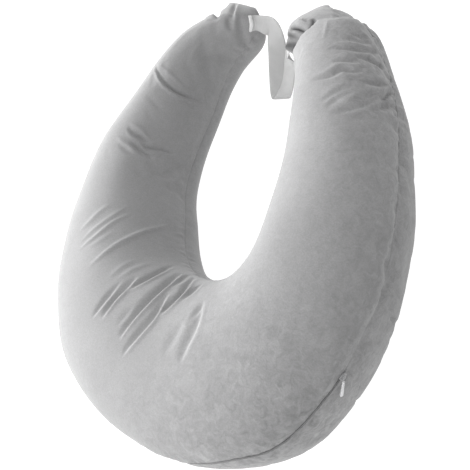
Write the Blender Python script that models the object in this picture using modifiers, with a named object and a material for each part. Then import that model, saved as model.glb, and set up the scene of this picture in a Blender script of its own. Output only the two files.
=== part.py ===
"""U-shaped nursing pillow, lying on its back with its crowned front up.

Metres, +Z up, the two tips towards +Y. The origin is on the surface that the pillow
lies on, under the middle of its outline. The stuffed body is one solid lofted through
a table of sections that run round the U, from the left tip to the right one.
"""
import math
from collections import namedtuple

import bmesh
import bpy
import numpy as np
from mathutils import Matrix, Vector
from mathutils.bvhtree import BVHTree

MM = 0.001

# A section of the body. inner and outer are the places in plan of its two side seams,
# crown and base are its highest and lowest height, and the last two are the seams' heights.
Section = namedtuple(
    "Section",
    "inner_x inner_y outer_x outer_y crown base inner_seam outer_seam",
)
SECTIONS = [Section(*row) for row in (
    # left tip, from its pinched end seam
    (-17, 275, -73, 298, 67, 57, 62, 62),
    (-15, 260, -82, 279, 82, 30, 54, 64),
    (-27, 248, -102, 263, 96, 8, 45, 68),
    (-69, 213, -126, 243, 107, 0, 35, 76),
    # left arm
    (-89, 149, -165, 187, 122, 0, 33, 83),
    (-101, 49, -225, 68, 142, 0, 46, 85),
    (-81, -13, -241, -65, 158, 0, 58, 88),
    # bend
    (-59, -55, -204, -189, 166, 0, 69, 93),
    (-29, -84, -109, -268, 166, 0, 80, 101),
    (17, -99, 19, -300, 165, 0, 88, 112),
    (60, -93, 144, -278, 165, 0, 82, 111),
    (85, -65, 218, -184, 160, 0, 74, 106),
    # right arm
    (92, -22, 241, -61, 153, 0, 66, 98),
    (96, 44, 224, 72, 140, 0, 62, 86),
    (88, 132, 174, 189, 123, 0, 60, 75),
    # right tip, to its pinched end seam
    (64, 191, 150, 215, 107, 0, 60, 70),
    (50, 215, 130, 233, 94, 10, 58, 66),
    (59, 230, 112, 244, 81, 36, 60, 63),
    (73, 242, 100, 253, 69, 54, 61, 61),
)]

# The section's outline: the power of its superellipse, and how far its underside
# would reach through the surface if it weren't pressed flat there, as a share of its depth.
ROUNDNESS = 2.2
BASE_PRESS = 0.12

# The side seams are drawn in. The outer one wanders about the widest part of the section:
# pairs of a section and how many degrees above the widest part the seam lies there.
SEAM_DEPTH = 2 * MM
SEAM_HALF_WIDTH = 10 * MM
SEAM_ANGLES = [
    (8.4, 0), (8.9, 3), (9.2, 8), (9.45, 14), (9.65, 17.5), (9.8, 18.5), (9.92, 17), (10.03, 13.5),
    (10.15, 10), (10.3, 7.5), (10.5, 6.5), (10.7, 5.5), (10.85, 3.8), (11.0, 2), (11.35, 0.5),
    (11.6, -2), (12.0, -3.5), (13.0, -4.5), (13.3, -8), (13.6, -8.5), (13.85, -7.5), (14.05, -2),
    (14.25, 4), (14.6, 2), (15, 0),
]

# Size of the mesh: steps along the body between two neighbouring sections, and steps round it.
STEPS_BETWEEN = (4, 4, 4, 5, 6, 6, 10, 13, 13, 12, 7, 6, 6, 7, 5, 4, 4, 3)
STEPS_ROUND = 48
CROWD_AT_SEAMS = 0.5

# The main creases. Each runs over the front from one section and angle to another, where
# the angle goes from 0 at the outer seam over 90 on the crown to 180 at the inner seam.
# bow is how far its middle bends towards the right tip, in sections. The half-width and
# the depth are in millimetres, and a depth below zero is a ridge.
Crease = namedtuple("Crease", "section angle to_section to_angle bow half_width depth")
CREASES = [Crease(*row) for row in (
    # notch beside the gathered ear of the left tip
    (0.95, -20, 2.00, 104, -0.36, 6, 8.0),
    # left arm
    (3.83, 74, 3.97, 168, 0.14, 7, 3.5),
    (4.68, 100, 4.76, 160, 0.06, 8, 3.0),
    # fan round the left side of the bend
    (6.46, 92, 6.04, 136, 0.04, 7, -1.5),
    (6.94, 98, 6.32, 167, 0.10, 7, -2.0),
    (7.86, 94, 7.96, 161, 0.06, 8, 4.0),
    (8.36, 92, 8.36, 163, 0.18, 8, 5.0),
    (8.51, 86, 8.72, 167, 0.36, 8, 5.0),
    (9.46, 88, 9.78, 126, 0.00, 9, 3.5),
    # gathers near the right tip
    (13.76, 72, 13.70, 2, -0.05, 7, 2.5),
    (13.50, 94, 13.48, 30, -0.04, 7, 3.0),
    (13.15, 58, 13.34, -6, 0.00, 7, 3.5),
    # tuck of the right tip
    (14.92, 76, 14.70, 168, -0.16, 8, 8.0),
)]
CREASE_STEPS = 24
# The low ridge on each side of a crease: its height as a share of the depth, and how far
# from the crease it lies, in half-widths.
RIDGE_SHARE = 0.35
RIDGE_PLACE = 1.9

# The carrying strap: webbing whose ends are sewn to the two tips. Each row of its route is
# a place on its middle line, then the direction across it: its heading in plan and its slope.
STRAP_WIDTH = 25 * MM
STRAP_THICKNESS = 1.5 * MM
RoutePoint = namedtuple("RoutePoint", "x y z heading slope")
STRAP_ROUTE = [RoutePoint(*row) for row in (
    # sewn to the left tip
    (-18, 248, 68, -96, -36),
    (-12, 251, 61, -96, -36),
    (-4, 252, 56, -100, -34),
    # turns towards the bend of the pillow and comes down
    (4, 250, 53, -135, -28),
    (7, 243, 48, -158, -10),
    (7, 234, 41.5, -170, 9),
    (4.5, 225, 32.5, -168, 26),
    (1.5, 213.5, 24.5, -168, 32),
    (-1, 202, 17, -168, 34),
    (-1.5, 191, 12.5, -168, 32),
    (-1, 181, 9.5, -170, 28),
    # rolls over itself
    (0, 172, 7.5, -172, 20),
    (3.5, 166, 9, -174, 14),
    (9.5, 169.5, 13.5, -177, 8),
    # comes back in front
    (13, 179, 15.5, -182, -6),
    (14, 189.5, 18, -185, -14),
    (15.5, 200, 22.5, -187, -16),
    (18.5, 209, 29, -200, -12),
    # reaches the right tip, where it is sewn
    (25, 213, 38, -232, -4),
    (34, 212, 48, -255, 0),
    (44, 206, 59, -266, 0),
    (54, 200, 70, -270, 0),
)]
STRAP_STEPS = 84
STRAP_STEPS_ACROSS = 4
SEWN_LENGTH = 14 * MM
LIFT_LENGTH = 12 * MM
SEWN_GAP = 0.8 * MM
FREE_GAP = 2 * MM

# The closed zip in the outer seam, its slider at the end near the right arm.
ZIP_FIRST_SECTION = 9.3
ZIP_LAST_SECTION = 10.99
ZIP_STEPS = 26
CHAIN_WIDTH = 4 * MM
CHAIN_THICKNESS = 1.2 * MM
CHAIN_GAP = 0.7 * MM
SLIDER_SIZE = (9 * MM, 7 * MM, 3 * MM)
SLIDER_ROUNDING = 0.9 * MM
PIECE_GAP = 0.3 * MM
PULLER_LENGTH = 18 * MM
PULLER_WIDTH = 4.4 * MM
PULLER_NECK = 2.8 * MM
PULLER_THICKNESS = 1.2 * MM
PULLER_GAP = 1.0 * MM
PULLER_TURN = math.radians(39)


def clear_scene():
    for item in list(bpy.data.objects):
        bpy.data.objects.remove(item, do_unlink=True)


def make_collection(name):
    collection = bpy.data.collections.new(name)
    bpy.context.scene.collection.children.link(collection)
    return collection


def make_material(name, colour, roughness, metallic=0.0):
    material = bpy.data.materials.new(name)
    material.use_nodes = True
    shader = material.node_tree.nodes["Principled BSDF"]
    shader.inputs["Base Color"].default_value = (*colour, 1.0)
    shader.inputs["Roughness"].default_value = roughness
    shader.inputs["Metallic"].default_value = metallic
    return material


def smooth_rows(rows, where):
    """Values between a table's rows, on a smooth curve through them. where counts rows."""
    table = np.asarray(rows, float)
    before, after = 2 * table[0] - table[1], 2 * table[-1] - table[-2]
    table = np.vstack([before, table, after])
    first = np.clip(np.floor(where).astype(int), 0, len(rows) - 2)
    part = (where - first)[:, None]
    p0, p1, p2, p3 = (table[first + k] for k in range(4))
    return p1 + 0.5 * part * (
        p2 - p0 + part * (2 * p0 - 5 * p1 + 4 * p2 - p3 + part * (3 * p1 - p0 - 3 * p2 + p3))
    )


def plain_surface(sections, angles):
    """Points of the body without seams or creases, one row for each section position."""
    rows = smooth_rows(SECTIONS, np.asarray(sections, float)) * MM
    inner_x, inner_y, outer_x, outer_y, crown, base, inner_seam, outer_seam = (
        column[:, None] for column in rows.T
    )
    cosine, sine = np.cos(angles)[None], np.sin(angles)[None]
    across = 0.5 + 0.5 * np.sign(cosine) * np.abs(cosine) ** (2 / ROUNDNESS)
    lift = np.sign(sine) * np.abs(sine) ** (2 / ROUNDNESS)
    seam = inner_seam + (outer_seam - inner_seam) * across
    above = seam + (crown - seam) * lift
    below = seam + (seam - base) * (1 + BASE_PRESS) * lift
    height = np.where(lift > 0, above, np.maximum(below, np.maximum(base, 0)))
    x = inner_x + (outer_x - inner_x) * across
    y = inner_y + (outer_y - inner_y) * across
    return np.stack([x, y, height], axis=-1), seam


def seam_place(section, rise=0.0):
    """A place on the outer seam before it is drawn in, or so many radians above it."""
    angle = math.radians(np.interp(section, *zip(*SEAM_ANGLES))) + rise
    return Vector(plain_surface([section], np.array([angle]))[0][0, 0])


def grid_normals(points):
    """Unit normals of a grid of points that is open along its rows and closed round them."""
    along = np.gradient(points, axis=0)
    around = np.roll(points, -1, axis=1) - np.roll(points, 1, axis=1)
    normals = np.cross(along, around)
    return normals / np.maximum(np.linalg.norm(normals, axis=-1, keepdims=True), 1e-12)


def crease_line(crease):
    part = np.linspace(0, 1, CREASE_STEPS)
    section = crease.section + (crease.to_section - crease.section) * part
    section = section + crease.bow * 4 * part * (1 - part)
    angle = np.radians(crease.angle + (crease.to_angle - crease.angle) * part)
    line = np.stack([plain_surface([s], np.array([a]))[0][0, 0] for s, a in zip(section, angle)])
    fade = 1 - (2 * part - 1) ** 4
    return line, fade


def crease_depths(points):
    """How deep the creases press each point in. A trough has a low ridge on each side."""
    depth = np.zeros(points.shape[:-1])
    for crease in CREASES:
        line, fade = crease_line(crease)
        distance = np.linalg.norm(points[..., None, :] - line, axis=-1)
        nearest = distance.argmin(axis=-1)
        away = distance.min(axis=-1) / (crease.half_width * MM)
        trough = np.exp(-away ** 2) - RIDGE_SHARE * np.exp(-(away - RIDGE_PLACE) ** 2)
        depth += crease.depth * MM * fade[nearest] * trough
    return depth


def section_positions():
    positions = [0.0]
    for index, steps in enumerate(STEPS_BETWEEN):
        positions += [index + (k + 1) / steps for k in range(steps)]
    return np.array(positions)


def body_points():
    turn = np.linspace(0, 2 * math.pi, STEPS_ROUND, endpoint=False)
    angles = turn - CROWD_AT_SEAMS * 0.5 * np.sin(2 * turn)
    points, seam = plain_surface(section_positions(), angles)
    normals = grid_normals(points)
    cosine = np.cos(angles)[None]
    outer = np.array([seam_place(section).z for section in section_positions()])
    line = np.where(cosine > 0, outer[:, None], seam)
    from_seam = (points[..., 2] - line) / SEAM_HALF_WIDTH
    inset = SEAM_DEPTH * cosine ** 2 * np.exp(-from_seam ** 2)
    inset[[0, -1]] = 0
    inset = inset + crease_depths(points)
    return points - normals * inset[..., None]


def loft(name, points, material, collection):
    """A closed solid through the rows of a grid of points, each row a closed outline."""
    shape = bmesh.new()
    rows = [[shape.verts.new(point) for point in row] for row in points]
    for row, following in zip(rows, rows[1:]):
        for k in range(len(row)):
            n = (k + 1) % len(row)
            shape.faces.new((row[k], row[n], following[n], following[k]))
    for row in (rows[0], rows[-1]):
        middle = shape.verts.new(sum((v.co for v in row), Vector()) / len(row))
        for k in range(len(row)):
            shape.faces.new((row[k], row[(k + 1) % len(row)], middle))
    bmesh.ops.recalc_face_normals(shape, faces=shape.faces)
    mesh = bpy.data.meshes.new(name)
    shape.to_mesh(mesh)
    shape.free()
    return add_object(name, mesh, material, collection)


def add_object(name, data, material, collection):
    item = bpy.data.objects.new(name, data)
    data.materials.append(material)
    collection.objects.link(item)
    if item.type == "MESH":
        data.shade_smooth()
    return item


def mesh_tree(item):
    points = [vertex.co.copy() for vertex in item.data.vertices]
    return BVHTree.FromPolygons(points, [tuple(face.vertices) for face in item.data.polygons])


def strip_outlines(middle, thickness):
    """Closed outlines round a strip, from the grid of points on its middle surface."""
    along = np.gradient(middle, axis=0)
    across = np.gradient(middle, axis=1)
    normals = np.cross(across, along)
    normals /= np.linalg.norm(normals, axis=-1, keepdims=True)
    upper = middle + normals * thickness / 2
    lower = middle - normals * thickness / 2
    return np.concatenate([upper, lower[:, ::-1]], axis=1)


def strap_middle(tree):
    """The strap's middle surface, laid on the body where it is sewn and clear of it elsewhere."""
    where = np.linspace(0, len(STRAP_ROUTE) - 1, STRAP_STEPS)
    rows = smooth_rows(STRAP_ROUTE, where)
    centre = rows[:, :3] * MM
    heading, slope = np.radians(rows[:, 3]), np.radians(rows[:, 4])
    across = np.stack(
        [np.cos(heading) * np.cos(slope), np.sin(heading) * np.cos(slope), np.sin(slope)], axis=-1
    )
    offsets = np.linspace(-0.5, 0.5, STRAP_STEPS_ACROSS + 1) * STRAP_WIDTH
    middle = centre[:, None] + across[:, None] * offsets[None, :, None]
    run = np.concatenate([[0], np.cumsum(np.linalg.norm(np.diff(centre, axis=0), axis=1))])
    from_end = np.minimum(run, run[-1] - run)
    loose = np.clip((from_end - SEWN_LENGTH) / LIFT_LENGTH, 0, 1)
    for index in np.ndindex(middle.shape[:2]):
        point = Vector(middle[index])
        on_body, normal, _, _ = tree.find_nearest(point)
        share = loose[index[0]]
        gap = STRAP_THICKNESS / 2 + SEWN_GAP + (FREE_GAP - SEWN_GAP) * share
        height = (point - on_body).dot(normal)
        if share == 0 or height < gap:
            point = on_body + normal * gap
        point.z = max(point.z, STRAP_THICKNESS / 2)
        middle[index] = point
    return middle


def make_strap(tree, material, collection):
    outlines = strip_outlines(strap_middle(tree), STRAP_THICKNESS)
    return loft("strap", outlines, material, collection)


def seam_frame(section):
    """Place, direction along and outward direction of the outer seam's drawn-in line."""
    step = 0.02
    along = (seam_place(section + step) - seam_place(section - step)).normalized()
    up = seam_place(section, step) - seam_place(section, -step)
    outward = along.cross(up).normalized()
    return seam_place(section) - outward * SEAM_DEPTH, along, outward


def make_chain(material, collection):
    rows = []
    for section in np.linspace(ZIP_FIRST_SECTION, ZIP_LAST_SECTION, ZIP_STEPS):
        place, along, outward = seam_frame(section)
        up = outward.cross(along)
        centre = place + outward * (CHAIN_GAP + CHAIN_THICKNESS / 2)
        rows.append([centre + up * side * CHAIN_WIDTH / 2 for side in (-1, 1)])
    outlines = strip_outlines(np.array(rows), CHAIN_THICKNESS)
    return loft("zip_chain", outlines, material, collection)


def make_slider(material, collection):
    mesh = bpy.data.meshes.new("zip_slider")
    shape = bmesh.new()
    bmesh.ops.create_cube(shape, size=1.0, matrix=Matrix.Diagonal((*SLIDER_SIZE, 1)))
    shape.to_mesh(mesh)
    shape.free()
    slider = add_object("zip_slider", mesh, material, collection)
    rounding = slider.modifiers.new("rounding", "BEVEL")
    rounding.width = SLIDER_ROUNDING
    rounding.segments = 3
    place, along, outward = seam_frame(ZIP_LAST_SECTION)
    lift = CHAIN_GAP + CHAIN_THICKNESS + PIECE_GAP + SLIDER_SIZE[2] / 2
    place = place - along * SLIDER_SIZE[0] / 2 + outward * lift
    slider.matrix_world = placed(place, along, outward)
    return slider


def placed(place, along, outward):
    """A matrix whose X runs along and whose Z points outward."""
    side = outward.cross(along).normalized()
    turned = Matrix((along, side, outward.normalized())).transposed()
    return Matrix.Translation(place) @ turned.to_4x4()


def teardrop_outline():
    """Half-width of the puller from its neck to its round end, as a closed list of points."""
    steps = 14
    body = PULLER_LENGTH - PULLER_WIDTH / 2
    edge = [(0.0, PULLER_NECK / 2)]
    for k in range(steps + 1):
        angle = math.pi / 2 * (1 - 2 * k / steps)
        x = body + PULLER_WIDTH / 2 * math.cos(angle)
        edge.append((x, PULLER_WIDTH / 2 * math.sin(angle)))
    edge.append((0.0, -PULLER_NECK / 2))
    return edge


def make_puller(slider, tree, material, collection):
    outline = bpy.data.curves.new("zip_puller", "CURVE")
    outline.dimensions = "2D"
    outline.fill_mode = "BOTH"
    outline.extrude = PULLER_THICKNESS / 2
    spline = outline.splines.new("POLY")
    edge = teardrop_outline()
    spline.points.add(len(edge) - 1)
    for point, (x, y) in zip(spline.points, edge):
        point.co = (x, y, 0, 1)
    spline.use_cyclic_u = True
    puller = add_object("zip_puller", outline, material, collection)
    _, along, outward = seam_frame(ZIP_LAST_SECTION)
    down = Matrix.Rotation(PULLER_TURN, 3, outward) @ -along
    over_slider = SLIDER_SIZE[2] / 2 + PIECE_GAP + PULLER_THICKNESS / 2
    start = slider.matrix_world.translation - along * SLIDER_SIZE[0] / 2 + outward * over_slider
    end = above_body(tree, start + down * PULLER_LENGTH, PULLER_GAP + PULLER_THICKNESS / 2)
    direction = (end - start).normalized()
    _, normal, _, _ = tree.find_nearest((start + end) / 2)
    facing = (normal - direction * normal.dot(direction)).normalized()
    puller.matrix_world = placed(start, direction, facing)
    return puller


def above_body(tree, point, gap):
    on_body, normal, _, _ = tree.find_nearest(point)
    return on_body + normal * max(gap, (point - on_body).dot(normal))


def main():
    clear_scene()
    collection = make_collection("u_shaped_pillow")
    plush = make_material("pillow_plush", (0.50, 0.50, 0.51), 0.9)
    webbing = make_material("strap_webbing", (0.62, 0.62, 0.63), 0.8)
    tape = make_material("zip_tape", (0.40, 0.40, 0.41), 0.6)
    metal = make_material("slider_metal", (0.60, 0.60, 0.61), 0.35, 0.8)
    tag = make_material("puller_metal", (0.75, 0.75, 0.76), 0.3, 0.8)
    body = loft("pillow_body", body_points(), plush, collection)
    tree = mesh_tree(body)
    make_strap(tree, webbing, collection)
    make_chain(tape, collection)
    slider = make_slider(metal, collection)
    make_puller(slider, tree, tag, collection)


main()
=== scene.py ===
"""U-shaped nursing pillow: the looks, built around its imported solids.

Metres, in the part's own frame: +Z out of the crowned front, +Y towards the two tips.
The stuffed cover is a fine mesh lofted through the same sections as its solid, puffed out by
a short cloth simulation and then creased. The strap and the zip lie where their solids do.
"""
import math
from collections import namedtuple

import bmesh
import bpy
import numpy as np
from mathutils import Matrix, Vector, noise
from mathutils.bvhtree import BVHTree


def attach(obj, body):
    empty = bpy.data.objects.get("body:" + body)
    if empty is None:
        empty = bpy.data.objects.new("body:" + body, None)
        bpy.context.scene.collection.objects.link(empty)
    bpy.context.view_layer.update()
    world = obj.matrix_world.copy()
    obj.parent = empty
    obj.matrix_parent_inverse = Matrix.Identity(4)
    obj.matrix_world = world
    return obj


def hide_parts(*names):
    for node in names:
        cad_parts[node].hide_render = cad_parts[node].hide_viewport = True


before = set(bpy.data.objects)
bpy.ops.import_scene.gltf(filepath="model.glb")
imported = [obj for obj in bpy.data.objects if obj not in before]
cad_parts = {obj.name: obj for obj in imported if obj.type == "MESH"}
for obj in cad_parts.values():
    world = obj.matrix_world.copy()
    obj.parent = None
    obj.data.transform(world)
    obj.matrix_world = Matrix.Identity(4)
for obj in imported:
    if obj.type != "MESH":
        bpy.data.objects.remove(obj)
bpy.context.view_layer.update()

MM = 0.001

# Camera: its place, the point that it looks at and the direction that is up in the picture.
CAMERA_PLACE = (0.562, -0.215, 0.681)
CAMERA_TARGET = (0.019, -0.039, 0.070)
CAMERA_UP = (-0.214, 0.977, 0.0)
CAMERA_LENS_MM = 53.6
CAMERA_SENSOR_MM = 36.0

# A section of the body: the places in plan of its two side seams, its highest and lowest
# height, and the heights of the inner and the outer seam, in millimetres.
Section = namedtuple(
    "Section", "inner_x inner_y outer_x outer_y crown base inner_seam outer_seam"
)
LEFT_EDGE = Section(-22, 279, -71, 299, 63.5, 60.5, 62, 62)
SECTIONS = [Section(*row) for row in (
    # left tip
    (-17, 275, -73, 298, 67, 57, 62, 62),
    (-15, 260, -82, 279, 82, 30, 54, 64),
    (-27, 248, -102, 263, 96, 8, 45, 68),
    (-69, 213, -126, 243, 107, 0, 35, 76),
    # left arm
    (-89, 149, -165, 187, 122, 0, 33, 83),
    (-101, 49, -225, 68, 142, 0, 46, 85),
    (-81, -13, -241, -65, 158, 0, 58, 88),
    # bend
    (-59, -55, -204, -189, 166, 0, 69, 93),
    (-29, -84, -109, -268, 166, 0, 80, 101),
    (17, -99, 19, -300, 165, 0, 88, 112),
    (60, -93, 144, -278, 165, 0, 82, 111),
    (85, -65, 218, -184, 160, 0, 74, 106),
    # right arm
    (92, -22, 241, -61, 153, 0, 66, 98),
    (96, 44, 224, 72, 140, 0, 62, 86),
    (88, 132, 174, 189, 123, 0, 60, 75),
    # right tip
    (64, 191, 150, 215, 107, 0, 60, 70),
    (50, 215, 130, 233, 94, 10, 58, 66),
    (59, 230, 112, 244, 81, 36, 60, 63),
    (73, 242, 100, 253, 69, 54, 61, 61),
)]
RIGHT_EDGE = Section(76, 243, 98, 252, 63, 60, 61, 61)
TABLE = [LEFT_EDGE, *SECTIONS, RIGHT_EDGE]
LAST_SECTION = len(SECTIONS) - 1
ROUNDNESS = 2.2
BASE_PRESS = 0.12

# The cover's mesh: its rows along the U and its points round each row. The rows stand closest
# where the creases are, by pairs of a section and a density, and the points at the two seams.
ROWS_ALONG = 620
POINTS_ROUND = 158
TYPICAL_SECTION = 7.0
ROW_DENSITY = [
    (-1, 2.2), (2.6, 2), (3.3, 1), (3.7, 2.4), (4.2, 2.4), (4.4, 1.4), (5, 2),
    (5.6, 2.6), (9.9, 2.8), (10.4, 1.1), (12.8, 1), (13, 2.4), (14, 2.4), (14.3, 1.6),
    (19, 2.2),
]
FRONT_DENSITY = 1.8
BACK_DENSITY = 0.5
SEAM_DENSITY = 3.2
SEAM_REACH = 8 * MM
SEAM_REACH_ABOVE = 16 * MM

# The side seams: a broad drawn-in valley, and the narrow line of the seam itself.
SEAM_DEPTH = 2 * MM
SEAM_HALF_WIDTH = 9 * MM
SEAM_LINE_DEPTH = 0.8 * MM
SEAM_LINE_HALF_WIDTH = 1.2 * MM
# How sharp that line is: pairs of a section and a share of its depth.
SEAM_LINE_SHARES = [(11, 1), (11.1, 0.1), (11.7, 0.3), (12.6, 1)]
# The outer seam wanders: pairs of a section and how many degrees above the section's widest
# part it lies.
SEAM_ANGLES = [
    (8.4, 0), (8.9, 3), (9.2, 8), (9.45, 14), (9.65, 17.5), (9.8, 18.5), (9.92, 17),
    (10.03, 13.5), (10.15, 10), (10.3, 7.5), (10.5, 6.5), (10.7, 5.5), (10.85, 3.8), (11, 2),
    (11.35, 0.5), (11.6, -2), (12, -3.5), (13, -4.5), (13.3, -8), (13.6, -8.5), (13.85, -7.5),
    (14.05, -2), (14.25, 4), (14.6, 2), (15, 0),
]
# The seams pucker the cloth beside them: how far apart, how far out and how deep, and pairs
# of a section and how strong the puckers are at each seam.
PUCKER_PITCH = 7 * MM
PUCKER_REACH = 9 * MM
PUCKER_DEPTH = 1.6 * MM
PUCKER_SEED_ABOVE = 3.7
PUCKER_SEED_BELOW = 9.1
OUTER_PUCKERS = [
    (-1, 0.5), (4, 0.4), (6, 0.2), (9, 0.4), (10.9, 0.8), (11.4, 1.5), (14, 1.6), (19, 1),
]
INNER_PUCKERS = [(3, 1), (4, 0.5), (6.5, 0.4), (9, 0.8), (12, 0.5), (15, 0.8), (19, 1)]
# Over how many sections the seams and their puckers fade out towards each end.
SEAM_FADE = 1.5

# Loose filling makes low lumps under the cover, which fade out towards its ends. The slack
# back panel has sharper crumples beside the outer seam: pairs of a section, and of degrees
# round it, and how strong they are.
LUMP_SIZE = 75 * MM
LUMP_HEIGHT = 1.3 * MM
LUMP_FADE = 2
LUMP_SHIFT = 1.0
CRUMPLE_SIZE = 26 * MM
CRUMPLE_HEIGHT = 3.0 * MM
CRUMPLE_SHARPNESS = 6
CRUMPLE_MEAN = 0.35
CRUMPLES_ALONG = [
    (3, 0.2), (8, 0.1), (9.6, 0.5), (10.4, 0.8), (11.2, 0.7), (11.6, 1.2), (12.6, 1),
    (13.4, 1), (14.4, 0.6), (16, 0.3), (19, 0),
]
CRUMPLES_ROUND = [(-75, 0), (-40, 0.8), (-12, 1), (-5, 0.5), (0, 0.1), (6, 0)]

# The closed zip runs along the outer seam between these sections, and the cloth is turned
# under beside it, with rolled edges.
ZIP_FIRST_SECTION = 9.3
ZIP_LAST_SECTION = 10.99
ZIP_LIP_HEIGHT = 0.6 * MM
ZIP_LIP_HALF_WIDTH = 0.9 * MM
ZIP_LIP_PLACE = 1.9 * MM
ZIP_FADE = 0.1

# In how many steps lengths are measured along the body and round it, and how much Blender's
# noise is raised to reach about 1.
FINE_STEPS = 2400
NOISE_GAIN = 2


def noise_at(points, size):
    """Smooth noise at points, between about -1 and 1, in patches of about that size."""
    spots = [noise.noise(Vector(point)) for point in (points / size).reshape(-1, 3)]
    return np.reshape(spots, points.shape[:-1]) * NOISE_GAIN


def noise_along(run, size, seed):
    return noise_at(np.array([(place / size, seed, 0.5) for place in run]), 1)


def graded(where, pairs):
    """Values at these places, on straight lines between pairs of a place and a value."""
    return np.interp(where, *zip(*pairs))


def soft_step(values, start, end):
    """0 before the start, 1 after the end and a smooth rise between them."""
    part = np.clip((values - start) / (end - start), 0, 1)
    return part * part * (3 - 2 * part)


def from_tip(sections):
    """How many sections each place is from the last one of the nearer tip."""
    return np.minimum(sections, LAST_SECTION - sections)


def direction(heading, slope):
    """Unit directions, from their headings in plan and their slopes in degrees."""
    heading, slope = np.radians(heading), np.radians(slope)
    level = np.cos(slope)
    return np.stack([np.cos(heading) * level, np.sin(heading) * level, np.sin(slope)], axis=-1)


def lumps(sections, angles, points):
    """How far the filling's lumps and the back panel's crumples press the cover in."""
    degrees = (np.degrees(angles) + 180) % 360 - 180
    strength = graded(sections, CRUMPLES_ALONG) * graded(degrees, CRUMPLES_ROUND)
    crumples = np.zeros(strength.shape)
    where = strength > 0
    # Sharp valleys where the noise passes through nothing.
    folds = 1 - np.abs(noise_at(points[where], CRUMPLE_SIZE))
    crumples[where] = strength[where] * (folds ** CRUMPLE_SHARPNESS - CRUMPLE_MEAN)
    soft = noise_at(points + LUMP_SHIFT, LUMP_SIZE)
    soft *= soft_step(from_tip(sections) + 1, 0, LUMP_FADE)
    return CRUMPLE_HEIGHT * crumples + LUMP_HEIGHT * soft


def smooth_rows(rows, where):
    """Values between a table's rows, on a smooth curve through them. where counts rows."""
    table = np.asarray(rows, float)
    before, after = 2 * table[0] - table[1], 2 * table[-1] - table[-2]
    table = np.vstack([before, table, after])
    first = np.clip(np.floor(where).astype(int), 0, len(rows) - 2)
    part = (where - first)[:, None]
    p0, p1, p2, p3 = (table[first + k] for k in range(4))
    return p1 + 0.5 * part * (
        p2 - p0 + part * (2 * p0 - 5 * p1 + 4 * p2 - p3 + part * (3 * p1 - p0 - 3 * p2 + p3))
    )


def plain_surface(sections, angles):
    """Points of the body without seams or creases, and each one's seam height.

    The angle is 0 at the outer seam, a quarter turn on the crown and a half turn at the inner
    seam.
    """
    sections, angles = np.broadcast_arrays(np.asarray(sections, float), angles)
    rows = smooth_rows(TABLE, sections.ravel() + 1) * MM
    rows = rows.reshape(*sections.shape, -1)
    inner_x, inner_y, outer_x, outer_y, crown, base, inner_seam, outer_seam = (
        rows[..., k] for k in range(rows.shape[-1])
    )
    cosine, sine = np.cos(angles), np.sin(angles)
    across = 0.5 + 0.5 * np.sign(cosine) * np.abs(cosine) ** (2 / ROUNDNESS)
    lift = np.sign(sine) * np.abs(sine) ** (2 / ROUNDNESS)
    seam = inner_seam + (outer_seam - inner_seam) * across
    above = seam + (crown - seam) * lift
    below = seam + (seam - base) * (1 + BASE_PRESS) * lift
    height = np.where(lift > 0, above, np.maximum(below, np.maximum(base, 0)))
    x = inner_x + (outer_x - inner_x) * across
    y = inner_y + (outer_y - inner_y) * across
    return np.stack([x, y, height], axis=-1), seam


def seam_angle(sections):
    return np.radians(graded(sections, SEAM_ANGLES))


def above_seam(sections, angles, points, seam):
    """How far each point lies above the nearer side seam."""
    outer, _ = plain_surface(sections, seam_angle(sections))
    return points[..., 2] - np.where(np.cos(angles) > 0, outer[..., 2], seam)


def run_along(points):
    """Distance covered up to each of a row of points."""
    steps = np.linalg.norm(np.diff(points, axis=0), axis=-1)
    return np.concatenate([[0.0], np.cumsum(steps)])


def spaced(places, lengths, density, count, closed=False):
    """Places along a line, closest together where its density is high."""
    weight = np.concatenate([[0.0], np.cumsum(lengths * density)])
    return np.interp(np.linspace(0, weight[-1], count, endpoint=not closed), weight, places)


def crowded_sections(count):
    """Section positions along the crown, closest together where the creases are."""
    fine = np.linspace(-1, LAST_SECTION + 1, FINE_STEPS)
    crown, _ = plain_surface(fine, math.pi / 2)
    middle = 0.5 * (fine[1:] + fine[:-1])
    return spaced(fine, np.diff(run_along(crown)), graded(middle, ROW_DENSITY), count)


def crowded_angles(count):
    """Angles round a section, closest together at its two seams."""
    fine = np.linspace(0, 2 * math.pi, FINE_STEPS + 1)
    outline, seam = plain_surface(TYPICAL_SECTION, fine)
    middle = 0.5 * (fine[1:] + fine[:-1])
    density = np.where(middle < math.pi, FRONT_DENSITY, BACK_DENSITY)
    from_seam = outline[1:, 2] - seam[1:]
    reach = np.where((np.cos(middle) > 0) & (from_seam > 0), SEAM_REACH_ABOVE, SEAM_REACH)
    density = density + SEAM_DENSITY * np.cos(middle) ** 2 * np.exp(-(from_seam / reach) ** 2)
    return spaced(fine, np.diff(run_along(outline)), density, count, closed=True)


def grid_normals(points):
    """Outward unit normals of a grid of points, open along its rows and closed round them."""
    along = np.gradient(points, axis=0)
    around = np.roll(points, -1, axis=1) - np.roll(points, 1, axis=1)
    normals = np.cross(along, around)
    return normals / np.maximum(np.linalg.norm(normals, axis=-1, keepdims=True), 1e-12)


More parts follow.
